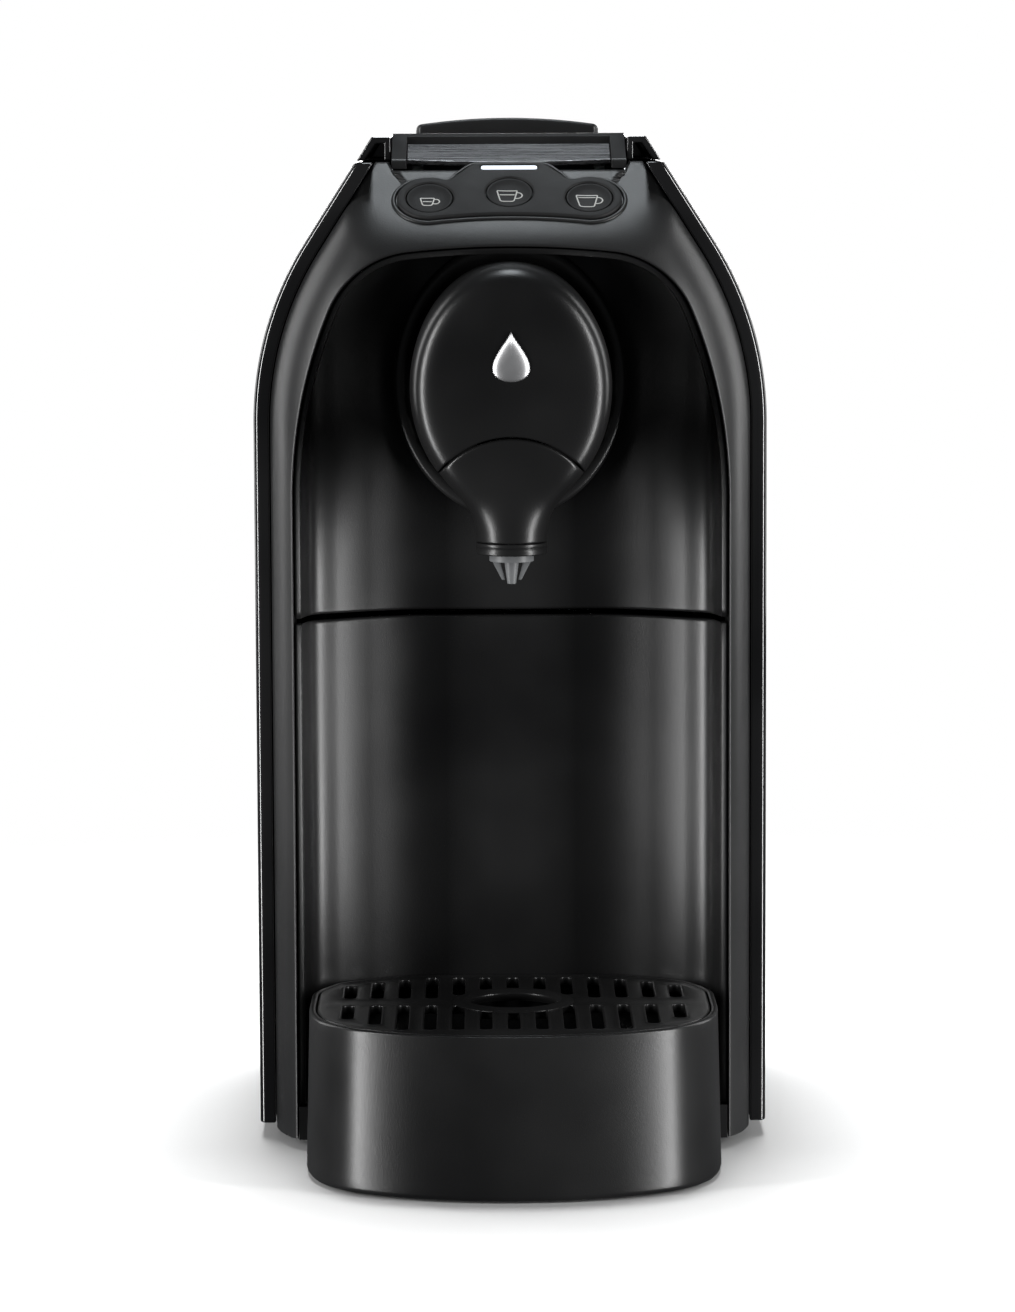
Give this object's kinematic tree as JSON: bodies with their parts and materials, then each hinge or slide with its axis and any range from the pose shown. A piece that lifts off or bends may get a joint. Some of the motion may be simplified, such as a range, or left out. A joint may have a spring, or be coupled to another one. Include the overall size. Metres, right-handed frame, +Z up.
{
  "type": "pod coffee machine",
  "caption": "Upright pod coffee machine with an arched cup bay, oval brew head, slotted drip tray, lifting capsule lever, three sloping buttons and a rear water tank.",
  "frame": {"origin": "on the worktop, under the middle of the machine's box", "axes": "+X to the right seen from the front, +Y to the back, +Z up"},
  "size_m": [0.1844, 0.255, 0.3674],
  "materials": {
    "satin_black": "satin moulded plastic",
    "gloss_black": "polished piano black",
    "moulded_black": "fine-grained moulded plastic",
    "soft_black": "soft-touch",
    "brushed_dark": "finely brushed, dark anodised",
    "chrome_trim": "polished",
    "lamp_white": "diffusing, lit",
    "smoked_clear": "smoked clear plastic",
    "rubber_black": "matt",
    "steel": "ground",
    "white_plastic": "acetal",
    "grey_plastic": "moulded",
    "cast_metal": "die cast",
    "coil_metal": "lacquered yoke",
    "hose_silicone": "silicone",
    "board_green": "lacquered board",
    "socket_black": "moulded"
  },
  "bodies": {
    "root": {"base_plate": "moulded_black", "brew_chamber": "grey_plastic", "brew_frame": "moulded_black", "brew_head_cover": "moulded_black", "brew_hose": "hose_silicone", "bulkhead": "moulded_black", "button_board": "moulded_black", "button_panel": "soft_black", "capsule_chute": "moulded_black", "capsule_inlet": "moulded_black", "chamber_needle": "steel", "feed_hose": "hose_silicone", "flow_meter": "white_plastic", "front_frame": "satin_black", "guide_rods": "steel", "head_badge": "chrome_trim", "idler_axles": "steel", "lever_pins": "steel", "lever_switch": "socket_black", "light_bar": "lamp_white", "main_board": "board_green", "mains_inlet": "socket_black", "outlet_collar": "moulded_black", "outlet_funnel": "moulded_black", "outlet_nozzle": "grey_plastic", "outlet_tube": "grey_plastic", "pump_body": "white_plastic", "pump_coil": "coil_metal", "pump_hose": "hose_silicone", "pump_mounts": "rubber_black", "recess_panel": "moulded_black", "rubber_feet": "rubber_black", "side_shell_left": "gloss_black", "side_shell_right": "gloss_black", "side_trims": "gloss_black", "tank_gasket": "rubber_black", "tank_seat": "white_plastic", "thermoblock": "cast_metal", "thermostat": "steel", "top_housing": "gloss_black"},
    "lever": {"lever_bracket": "satin_black", "lever_plate": "brushed_dark", "lever_sectors": "white_plastic"},
    "idler_r": {"idler_right": "white_plastic"},
    "idler_l": {"idler_left": "white_plastic"},
    "carriage": {"carriage_racks": "white_plastic", "plunger_yoke": "white_plastic", "brew_plunger": "white_plastic", "plunger_seal": "rubber_black"},
    "container": {"capsule_container": "moulded_black"},
    "tray": {"drip_tray": "moulded_black"},
    "grid": {"drip_grid": "moulded_black"},
    "tank": {"water_tank": "smoked_clear", "valve_collar": "white_plastic"},
    "valve": {"tank_valve": "white_plastic"},
    "lid": {"tank_lid": "gloss_black", "lid_grip": "satin_black"},
    "small_button": {"button_small": "soft_black"},
    "medium_button": {"button_medium": "soft_black"},
    "large_button": {"button_large": "soft_black"}
  },
  "joints": [
    {"name": "lever_lift", "type": "hinge", "parent": "root", "child": "lever", "pos_m": [0, 0.024, 0.347], "axis": [-1, 0, 0], "range_deg": [0, 78]},
    {"name": "idler_right_turn", "type": "hinge", "parent": "root", "child": "idler_r", "pos_m": [0.033, 0.024, 0.317], "axis": [-1, 0, 0], "range_deg": [-230, 1]},
    {"name": "idler_left_turn", "type": "hinge", "parent": "root", "child": "idler_l", "pos_m": [-0.033, 0.024, 0.317], "axis": [-1, 0, 0], "range_deg": [-230, 1]},
    {"name": "plunger_slide", "type": "slide", "parent": "root", "child": "carriage", "axis": [0, 1, 0], "range_m": [0, 0.0301]},
    {"name": "container_slide", "type": "slide", "parent": "root", "child": "container", "axis": [0, -1, 0], "range_m": [0, 0.12]},
    {"name": "tray_slide", "type": "slide", "parent": "container", "child": "tray", "axis": [0, -1, 0], "range_m": [0, 0.06]},
    {"name": "grid_lift", "type": "slide", "parent": "tray", "child": "grid", "axis": [0, 0, 1], "range_m": [0, 0.04]},
    {"name": "tank_lift", "type": "slide", "parent": "root", "child": "tank", "axis": [0, 0, 1], "range_m": [0, 0.08]},
    {"name": "valve_rise", "type": "slide", "parent": "tank", "child": "valve", "axis": [0, 0, 1], "range_m": [0, 0.003], "stiffness_N_per_m": 200},
    {"name": "lid_open", "type": "hinge", "parent": "tank", "child": "lid", "pos_m": [0, 0.1273, 0.3493], "axis": [-1, 0, 0], "range_deg": [0, 75]},
    {"name": "small_press", "type": "slide", "parent": "root", "child": "small_button", "axis": [0, 0.5913, -0.8064], "range_m": [0, 0.001], "stiffness_N_per_m": 800, "springref_m": -0.0006},
    {"name": "medium_press", "type": "slide", "parent": "root", "child": "medium_button", "axis": [0, 0.5913, -0.8064], "range_m": [0, 0.001], "stiffness_N_per_m": 800, "springref_m": -0.0006},
    {"name": "large_press", "type": "slide", "parent": "root", "child": "large_button", "axis": [0, 0.5913, -0.8064], "range_m": [0, 0.001], "stiffness_N_per_m": 800, "springref_m": -0.0006}
  ],
  "couplings": [
    {"joint": "idler_right_turn", "follows": "lever_lift", "ratio": -2.75},
    {"joint": "idler_left_turn", "follows": "lever_lift", "ratio": -2.75},
    {"joint": "plunger_slide", "follows": "lever_lift", "m_per_rad": 0.022}
  ]
}
